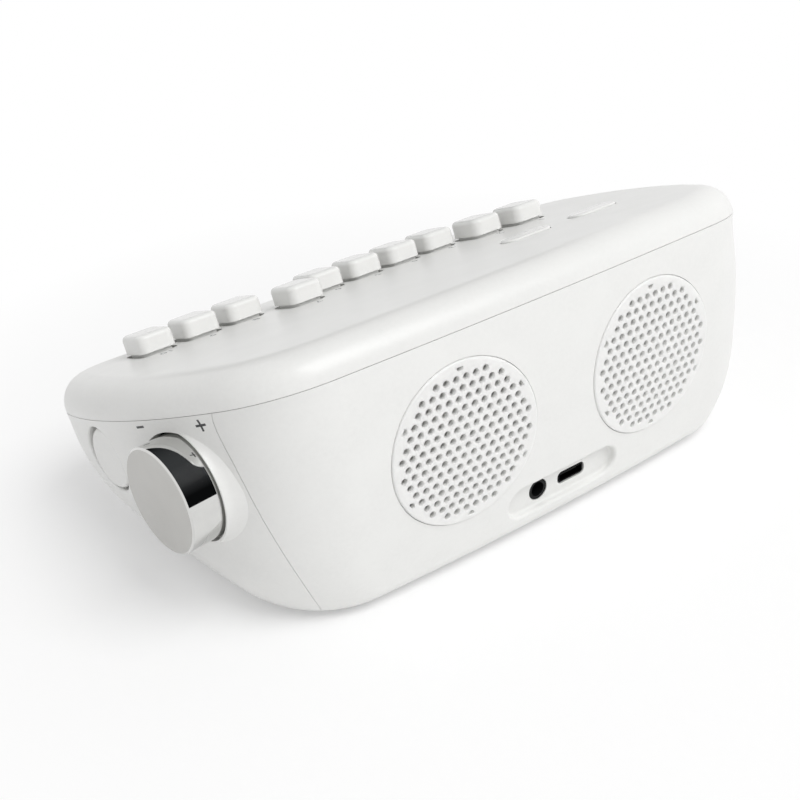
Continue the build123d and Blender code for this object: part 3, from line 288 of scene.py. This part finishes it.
# Bright nickel-chrome plating on plastic: a clean mirror with a slight waviness.
CHROME = Finish(
    "chrome_plating", "#D6D6D4", "#CBCBC9", 0.04, Pattern.SKIN, 3.0, 0.0015, metallic=1.0, spread=0.015
)
# Satin chrome on the knob's face: the plating over a finely blasted surface.
SATIN_CHROME = Finish(
    "satin_chrome", "#BDBCB9", "#B4B3B0", 0.34, Pattern.GRIT, 0.12, 0.004, metallic=1.0
)
# Compression-moulded silicone: milky, matt and soft-looking.
SILICONE = Finish("silicone_rubber", "#D9D9D4", "#CFCFCA", 0.62, Pattern.SKIN, 0.6, 0.01, ior=1.41)
# Neoprene feet: near-black and matt, with a fine grit.
FOOT_RUBBER = Finish("neoprene_rubber", "#2A2A2A", "#1F1F1F", 0.85, Pattern.GRIT, 0.4, 0.03, ior=1.52)
# Glass-fibre board under green solder mask, with its tracks showing through as lighter lines.
BOARD = Finish("fr4_solder_mask", "#0E4A2A", "#2F7A4C", 0.35, Pattern.TRACKS, 0.8, 0.02, coat=0.4)
# Glass-filled nylon of sockets and chips: black with a dry grain.
BLACK_NYLON = Finish("black_nylon", "#17171A", "#232326", 0.5, Pattern.GRIT, 0.3, 0.01, ior=1.53)
# Zinc-plated steel: bright grey with fine drawing lines.
ZINC_STEEL = Finish(
    "zinc_plated_steel", "#B9BBBD", "#9FA2A5", 0.3, Pattern.BRUSHED, 0.15, 0.004, metallic=1.0
)
# Nylon from a polished tool, jet black: the faces of the two sockets.
JET_NYLON = Finish("jet_black_nylon", "#08080A", "#0D0D0F", 0.6, Pattern.GRIT, 0.3, 0.004, ior=1.35)
# Plating of the power socket's steel shell, nearly matt: its near-black colour is painted shade, standing
# in for the shade deep in the slot.
PAINTED_SHADE_PLATING = Finish(
    "shell_plating_painted_shade", "#1B1B1D", "#131315", 0.45, Pattern.BRUSHED, 0.1, 0.002, metallic=1.0
)
# Nickel-plated steel of the pot and the capacitors: smoother and warmer than zinc.
NICKEL = Finish(
    "nickel_plated_steel", "#C4C1BB", "#B1AEA8", 0.22, Pattern.BRUSHED, 0.1, 0.002, metallic=1.0
)
# Bleached paper pulp of the speaker cones: pale, with a fibrous tooth.
PAPER = Finish("bleached_paper_pulp", "#DAD9D5", "#C9C8C3", 0.9, Pattern.SKIN, 0.35, 0.06, ior=1.5)
# Sintered ferrite: dark grey ceramic with a granular break.
FERRITE = Finish("sintered_ferrite", "#3A3A3C", "#2C2C2E", 0.6, Pattern.GRIT, 0.25, 0.02, ior=1.8)
# Closed-cell foam: black, fully matt, with open cut cells.
FOAM = Finish("closed_cell_foam", "#1C1C1C", "#2B2B2B", 0.95, Pattern.GRIT, 0.5, 0.08, ior=1.45)
# Flat flexible cable: white polyester film with the tinned conductors showing as stripes.
RIBBON = Finish("polyester_ribbon", "#E4E4E6", "#A9ABB0", 0.35, Pattern.STRIPES, 1.0, 0.01, ior=1.58)
# Pad-printed ink: dark grey, a little rougher than the plastic under it.
DARK_INK = Finish("dark_grey_ink", "#3B3B3D", "#444446", 0.5, Pattern.SKIN, 0.4, 0.002)
# The paler ink of the numbers behind the keys.
PALE_INK = Finish("pale_grey_ink", "#9A9A9C", "#A4A4A6", 0.5, Pattern.SKIN, 0.4, 0.002)


def dress(name: str, finish: Finish) -> None:
    """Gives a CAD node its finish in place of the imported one."""
    materials = NODES[name].data.materials
    materials.clear()
    materials.append(finish.material())
    LOG.info("%s wears %s", name, finish.name)


# ---------------------------------------------------------------- sub-assemblies
@dataclass
class Case:
    """Lower case, end cap, top cover, power button and feet, as moulded."""

    shells: tuple[str, ...] = ("lower_housing", "right_end_cap", "top_cover")

    def build(self) -> None:
        """Dresses the shells, the power button, the feet and the screws under them."""
        for name in self.shells:
            dress(name, CASE_ABS)
        dress("power_button", KEY_ABS)
        dress("rubber_feet", FOOT_RUBBER)
        dress("case_screws", ZINC_STEEL)


@dataclass
class SpeakerPair:
    """Both speakers behind their perforated discs."""

    sides: tuple[str, ...] = ("left", "right")

    def build(self) -> None:
        """Dresses the grilles and the speakers behind them."""
        finishes = {
            "grille": GRILLE_ABS, "speaker_gasket": FOAM, "speaker_frame": ZINC_STEEL,
            "speaker_cone": PAPER, "speaker_magnet": FERRITE,
        }
        for side in self.sides:
            for part, finish in finishes.items():
                dress(f"{side}_{part}", finish)
        dress("speaker_screws", ZINC_STEEL)
        dress("speaker_leads", BLACK_NYLON)


@dataclass
class Electronics:
    """Boards, sockets and what joins them."""

    def build(self) -> None:
        """Dresses every board and what is soldered to it."""
        finishes = {
            "main_board": BOARD, "key_board": BOARD, "end_board": BOARD, "main_board_chips": BLACK_NYLON,
            "main_board_capacitors": NICKEL, "ribbon_sockets": BLACK_NYLON, "headphone_jack": JET_NYLON,
            # the power socket's shell wears near-black plating: painted shade for its deep slot
            "usb_socket_shell": PAINTED_SHADE_PLATING, "usb_socket_tongue": JET_NYLON, "power_switch": BLACK_NYLON,
            "volume_pot": ZINC_STEEL, "pot_nut": NICKEL, "volume_shaft": NICKEL, "key_ribbon": RIBBON,
            "end_ribbon": RIBBON, "main_board_screws": ZINC_STEEL, "key_board_screws": ZINC_STEEL,
            "end_board_screws": ZINC_STEEL,
        }
        for name, finish in finishes.items():
            dress(name, finish)


@dataclass
class KeyPanel:
    """Sound keys, function buttons, the mat under them and the small numbers printed behind them."""

    number_height: float = 2.4 * MM
    number_gap: float = 1.6 * MM
    capital_share: float = 0.7
    curve_steps: int = 4
    film: float = 0.02 * MM
    start_height: float = 10.0 * MM

    def build(self) -> None:
        """Dresses the keys and prints a number behind each one."""
        for name in (*KEYS, "function_button_1", "function_button_2"):
            dress(name, KEY_ABS)
        dress("key_mat", SILICONE)
        for number, name in enumerate(KEYS, start=1):
            self.print_number(number, name)

    def print_number(self, number: int, key: str) -> bpy.types.Object:
        """Prints one plain number on the panel, upslope of its key.

        Args:
            number: The number.
            key: Node of the key that it belongs to.

        Returns:
            The printed number.
        """
        joint = JOINTS[f"{key}_press"]
        normal = -Vector(joint["axis"])
        across = Vector((1, 0, 0))
        uphill = normal.cross(across)
        middle = Vector(joint["pos_m"])
        reach = max((Vector(vert.co) - middle).dot(uphill) for vert in NODES[key].data.vertices)
        place = middle + uphill * (reach + self.number_gap) + normal * self.start_height
        _, surface, _, _ = NODES["top_cover"].ray_cast(place, -normal)
        font = bpy.data.curves.new(f"number_{number}", "FONT")
        font.body = str(number)
        font.size = self.number_height / self.capital_share
        font.align_x = "CENTER"
        font.extrude = self.film
        font.resolution_u = self.curve_steps
        lettering = bpy.data.objects.new(f"lettering_{number}", font)
        mesh = bpy.data.meshes.new_from_object(lettering)
        bpy.data.objects.remove(lettering)
        bpy.data.curves.remove(font)
        turn = Matrix((across, uphill, normal)).transposed().to_4x4()
        mesh.transform(Matrix.Translation(surface) @ turn)
        printed = bpy.data.objects.new(f"printed_number_{number}", mesh)
        bpy.context.scene.collection.objects.link(printed)
        mesh.materials.append(PALE_INK.material())
        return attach(printed, "case")


@dataclass
class VolumeKnob:
    """Plated knob: a polished skirt, a thin bevel and a satin face."""

    radius: float = 11.7 * MM
    face_height: float = 7.27 * MM
    skirt_low: float = -1.6 * MM
    bevel: float = 0.35 * MM
    lip: float = 0.25 * MM
    cavity_radius: float = 7.2 * MM
    cavity_top: float = 0.1 * MM
    bore_radius: float = 3.03 * MM
    bore_top: float = 4.9 * MM
    steps: int = 160
    corner_steps: int = 3
    sharp_angle: float = 25.0
    near: float = 0.01 * MM

    def build(self) -> bpy.types.Object:
        """Turns the knob's profile about its own axis and stands it in the end cap."""
        shape = bmesh.new()
        bevel_edge = self.radius - self.bevel
        profile = [
            (0.0, self.face_height), (bevel_edge, self.face_height),
            (self.radius, self.face_height - self.bevel), (self.radius, self.skirt_low + self.lip),
            (self.radius - self.lip, self.skirt_low), (self.cavity_radius, self.skirt_low),
            (self.cavity_radius, self.cavity_top), (self.bore_radius, self.cavity_top),
            (self.bore_radius, self.bore_top), (0.0, self.bore_top),
        ]
        points = [shape.verts.new((reach, 0.0, height)) for reach, height in profile]
        line = [shape.edges.new(pair) for pair in zip(points, points[1:])]
        bmesh.ops.spin(
            shape, geom=points + line, cent=(0, 0, 0), axis=(0, 0, 1), dvec=(0, 0, 0),
            angle=math.tau, steps=self.steps, use_merge=True, use_duplicate=False,
        )
        bmesh.ops.remove_doubles(shape, verts=shape.verts, dist=2 * MERGE_DISTANCE)
        corner = [
            edge for edge in shape.edges
            if all(
                abs(vert.co.z - self.face_height) < self.near
                and abs(vert.co.xy.length - bevel_edge) < self.near
                for vert in edge.verts
            )
        ]
        bmesh.ops.bevel(
            shape, geom=corner, offset=self.bevel / self.corner_steps, offset_type="OFFSET", affect="EDGES",
            segments=self.corner_steps, profile=0.5, material=-1,
        )
        for face in shape.faces:
            on_face = face.calc_center_median().z > self.face_height - self.near
            face.material_index = 1 if on_face else 0
        joint = JOINTS["volume_turn"]
        axis = Vector(joint["axis"])
        turn = axis.to_track_quat("Z", "Y").to_matrix().to_4x4()
        bmesh.ops.transform(shape, matrix=Matrix.Translation(joint["pos_m"]) @ turn, verts=shape.verts)
        knob = finish_mesh(shape, "turned_volume_knob", self.sharp_angle)
        knob.data.materials.append(CHROME.material())
        knob.data.materials.append(SATIN_CHROME.material())
        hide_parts("volume_knob")
        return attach(knob, "volume_knob")


@dataclass
class EndMarks:
    """Minus and plus printed on the end cap on both sides of the knob."""

    arm: float = 2.6 * MM
    stroke: float = 0.5 * MM
    minus_place: tuple[float, float] = (-11.6 * MM, 10.25 * MM)
    minus_turn: float = 24.0
    plus_place: tuple[float, float] = (5.4 * MM, 15.95 * MM)
    plus_turn: float = 24.0
    film: float = 0.02 * MM
    cuts: int = 3
    start_height: float = 30.0 * MM

    def build(self) -> None:
        """Prints both marks."""
        self.mark("printed_minus", self.minus_place, self.minus_turn, crossed=False)
        self.mark("printed_plus", self.plus_place, self.plus_turn, crossed=True)

    def mark(self, name: str, place: tuple[float, float], turn: float, crossed: bool) -> bpy.types.Object:
        """Lays one mark on the end cap.

        Args:
            name: Name of the piece.
            place: Centre, along the end and up from the knob's axis.
            turn: Turn of the mark in degrees.
            crossed: True for a plus.

        Returns:
            The printed mark.
        """
        joint = JOINTS["volume_turn"]
        axis = Vector(joint["axis"])
        along = Vector((0, 0, 1)).cross(axis).normalized()
        up = axis.cross(along)
        shape = bmesh.new()
        bmesh.ops.create_grid(shape, x_segments=3, y_segments=3, size=self.arm / 2)
        # The inner lines of the grid move in to the edges of the strokes.
        for vert in shape.verts:
            for index in (0, 1):
                if abs(vert.co[index]) < self.arm / 4:
                    vert.co[index] = math.copysign(self.stroke / 2, vert.co[index])
        outer = []
        for face in shape.faces:
            centre = face.calc_center_median()
            wide = abs(centre.x) > self.stroke / 2
            tall = abs(centre.y) > self.stroke / 2
            if tall and (wide or not crossed):
                outer.append(face)
        bmesh.ops.delete(shape, geom=outer, context="FACES")
        bmesh.ops.subdivide_edges(shape, edges=shape.edges, cuts=self.cuts, use_grid_fill=True)
        bmesh.ops.rotate(shape, matrix=Matrix.Rotation(math.radians(turn), 3, "Z"), verts=shape.verts)
        for vert in shape.verts:
            start = (
                Vector(joint["pos_m"]) + along * (place[0] + vert.co.x) + up * (place[1] + vert.co.y)
                + axis * self.start_height
            )
            _, surface, normal, _ = NODES["right_end_cap"].ray_cast(start, -axis)
            vert.co = surface + normal * self.film
        below = bmesh.ops.extrude_face_region(shape, geom=shape.faces[:])["geom"]
        sunk = [part for part in below if isinstance(part, bmesh.types.BMVert)]
        bmesh.ops.translate(shape, vec=-axis * 2 * self.film, verts=sunk)
        mark = finish_mesh(shape, name)
        mark.data.materials.append(DARK_INK.material())
        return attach(mark, "case")


@dataclass
class Studio:
    """Plain pale room, soft light and the camera. Turns are in degrees.

    Attributes:
        camera_place: The camera's point.
        heading: Turn of the view about the vertical, from +Y towards +X.
        pitch: Rise of the view.
        roll: Tilt of the camera about its view.
        lens_mm: Focal length.
        sensor_mm: Width of the sensor.
        nearest: Distance at which the camera starts to see.
        floor_size: Side of the square floor.
        floor_colour: Colour of the floor, sRGB hex.
        floor_glow: Share of painted white glow on the floor, which lifts its shade, near the machine and
            far from it.
        floor_reach: Distances from the origin at which those shares hold.
        sky: Strength of the world as a light.
        key_direction: Direction of the lamp.
        key_distance: Distance of the lamp.
        key_size: Side of the square lamp.
        key_level: Light that the lamp adds to a surface which faces it.
        flag_radius: Radius of the arched flag, less than the lamp's distance.
        flag_side: Both ends of the flag along X.
        flag_turn: Where its arch starts and ends, from the speaker side up and over.
        flag_steps: Facets of its arch.
        flag_low: Height and colour at which its painted shade starts.
        flag_high: Height and colour at which its painted shade ends.
    """

    camera_place: tuple[float, float, float] = (158.67 * MM, 213.0 * MM, 171.52 * MM)
    heading: float = 214.46
    pitch: float = -30.91
    roll: float = -3.98
    lens_mm: float = 55.72
    sensor_mm: float = 36.0
    nearest: float = 10.0 * MM
    floor_size: float = 6.0
    floor_colour: str = "#FBFBFB"
    floor_glow: tuple[float, float] = (0.3, 1.0)
    floor_reach: tuple[float, float] = (0.085, 0.17)
    sky: float = 0.53
    key_direction: tuple[float, float, float] = (-0.2, 0.5, 0.84)
    key_distance: float = 1.6
    key_size: float = 1.0
    key_level: float = 0.58
    flag_radius: float = 0.9
    flag_side: tuple[float, float] = (-0.75, 0.0)
    flag_turn: tuple[float, float] = (1.5, 172.0)
    flag_steps: int = 24
    flag_low: tuple[float, str] = (0.35, "#101112")
    flag_high: tuple[float, str] = (1.0, "#47494B")

    def build(self) -> None:
        """Sets up the camera, the floor, the world, the lamp and the dark flag."""
        self.add_camera()
        self.add_floor()
        self.add_flag()
        self.add_world()
        self.add_key()
        bpy.context.scene.view_settings.view_transform = "Standard"

    def add_camera(self) -> None:
        """Stands the camera where it looks down on the speaker face and the knob."""
        heading, pitch, roll = (math.radians(a) for a in (self.heading, self.pitch, self.roll))
        forward = Vector((
            math.sin(heading) * math.cos(pitch), math.cos(heading) * math.cos(pitch), math.sin(pitch),
        ))
        level = forward.cross(Vector((0, 0, 1))).normalized()
        upright = level.cross(forward)
        right = level * math.cos(roll) + upright * math.sin(roll)
        up = right.cross(forward)
        data = bpy.data.cameras.new("camera")
        data.lens = self.lens_mm
        data.sensor_width = self.sensor_mm
        data.clip_start = self.nearest
        camera = bpy.data.objects.new("camera", data)
        turn = Matrix((right, up, -forward)).transposed().to_4x4()
        camera.matrix_world = Matrix.Translation(self.camera_place) @ turn
        bpy.context.scene.collection.objects.link(camera)
        bpy.context.scene.camera = camera

    def add_floor(self) -> None:
        """Lays the white floor, whose painted white glow lifts its shade, a little near the machine and
        fully away from it.
        """
        shape = bmesh.new()
        bmesh.ops.create_grid(shape, x_segments=1, y_segments=1, size=self.floor_size / 2)
        floor = finish_mesh(shape, "floor")
        material = bpy.data.materials.new("matt_floor_painted_glow")
        material.use_nodes = True
        tree = material.node_tree
        tree.nodes.clear()
        place = add_node(tree, "ShaderNodeTexCoord").outputs["Object"]
        reach = add_node(tree, "ShaderNodeVectorMath", {0: place}, operation="LENGTH")
        glow = add_node(tree, "ShaderNodeMapRange", {
            "Value": reach.outputs["Value"],
            "From Min": self.floor_reach[0], "From Max": self.floor_reach[1],
            "To Min": self.floor_glow[0], "To Max": self.floor_glow[1],
        })
        seen = self.seen_ray(tree)
        share = add_node(
            tree, "ShaderNodeMath", {0: seen, 1: glow.outputs["Result"]}, operation="MULTIPLY"
        )
        matt = add_node(tree, "ShaderNodeBsdfDiffuse", {"Color": linear(self.floor_colour)})
        # Painted light: the floor's emission glow lightens its shade, by a share that grows away from the
        # machine.
        white = add_node(tree, "ShaderNodeEmission", {"Color": linear("#FFFFFF"), "Strength": 1.0})
        mixed = add_node(
            tree, "ShaderNodeMixShader", {0: share.outputs[0], 1: matt.outputs[0], 2: white.outputs[0]}
        )
        add_node(tree, "ShaderNodeOutputMaterial", {"Surface": mixed.outputs[0]})
        floor.data.materials.append(material)

    def add_flag(self) -> None:
        """Arches a dark flag over the far side, which only reflections show; it glows a painted dark tone,
        blacker low and greyer high, standing in for a dim room in those reflections.
        """
        shape = bmesh.new()
        ends = [shape.verts.new((side, self.flag_radius, 0.0)) for side in self.flag_side]
        edge = shape.edges.new(ends)
        low, high = (math.radians(turn) for turn in self.flag_turn)
        bmesh.ops.rotate(shape, matrix=Matrix.Rotation(low, 3, "X"), verts=ends)
        bmesh.ops.spin(
            shape, geom=ends + [edge], cent=(0, 0, 0), axis=(1, 0, 0), dvec=(0, 0, 0),
            angle=high - low, steps=self.flag_steps, use_merge=False, use_duplicate=False,
        )
        flag = finish_mesh(shape, "dark_flag")
        material = bpy.data.materials.new("dark_flag_painted_tone")
        material.use_nodes = True
        tree = material.node_tree
        tree.nodes.clear()
        place = add_node(tree, "ShaderNodeTexCoord").outputs["Object"]
        height = add_node(tree, "ShaderNodeSeparateXYZ", {"Vector": place}).outputs["Z"]
        # Painted shade: the flag's glow runs from near black low down to dark grey higher up.
        stops = [(level, linear(colour)) for level, colour in (self.flag_low, self.flag_high)]
        painted_tone = add_ramp(tree, height, stops)
        glow = add_node(tree, "ShaderNodeEmission", {"Color": painted_tone, "Strength": 1.0})
        add_node(tree, "ShaderNodeOutputMaterial", {"Surface": glow.outputs[0]})
        flag.data.materials.append(material)
        flag.visible_camera = False
        flag.visible_diffuse = False
        flag.visible_shadow = False

    def seen_ray(self, tree: bpy.types.NodeTree) -> bpy.types.NodeSocket:
        """Gives 1 for rays from the camera, off gloss and through glass, and 0 for all others.

        Args:
            tree: Node tree that gets the nodes.

        Returns:
            The socket with the 1 or 0.
        """
        rays = add_node(tree, "ShaderNodeLightPath").outputs
        seen = rays["Is Camera Ray"]
        for kind in ("Is Glossy Ray", "Is Transmission Ray"):
            either = add_node(tree, "ShaderNodeMath", {0: seen, 1: rays[kind]}, operation="MAXIMUM")
            seen = either.outputs[0]
        return seen

    def add_world(self) -> None:
        """Lights the scene evenly, and shows white behind it and in its reflections."""
        world = bpy.data.worlds.new("pale_room")
        bpy.context.scene.world = world
        world.use_nodes = True
        tree = world.node_tree
        tree.nodes.clear()
        strength = add_node(
            tree, "ShaderNodeMapRange", {"Value": self.seen_ray(tree), "To Min": self.sky, "To Max": 1.0}
        )
        shine = add_node(tree, "ShaderNodeBackground", {
            "Color": linear("#FFFFFF"), "Strength": strength.outputs["Result"],
        })
        add_node(tree, "ShaderNodeOutputWorld", {"Surface": shine.outputs["Background"]})

    def add_key(self) -> None:
        """Hangs one wide lamp above the far side, so that the shadow falls to the knob's side."""
        data = bpy.data.lights.new("softbox", "AREA")
        data.shape = "SQUARE"
        data.size = self.key_size
        data.energy = self.key_level * (math.pi * self.key_distance) ** 2
        lamp = bpy.data.objects.new("softbox", data)
        direction = Vector(self.key_direction).normalized()
        lamp.matrix_world = (
            Matrix.Translation(direction * self.key_distance)
            @ direction.to_track_quat("Z", "Y").to_matrix().to_4x4()
        )
        bpy.context.scene.collection.objects.link(lamp)


def main() -> None:
    """Builds every sub-assembly and reports it."""
    logging.basicConfig(level=logging.INFO, format="%(message)s")
    assemblies = (Case(), SpeakerPair(), Electronics(), KeyPanel(), VolumeKnob(), EndMarks(), Studio())
    for assembly in assemblies:
        assembly.build()
        LOG.info("built %s", type(assembly).__name__)


if __name__ == "__main__":
    main()
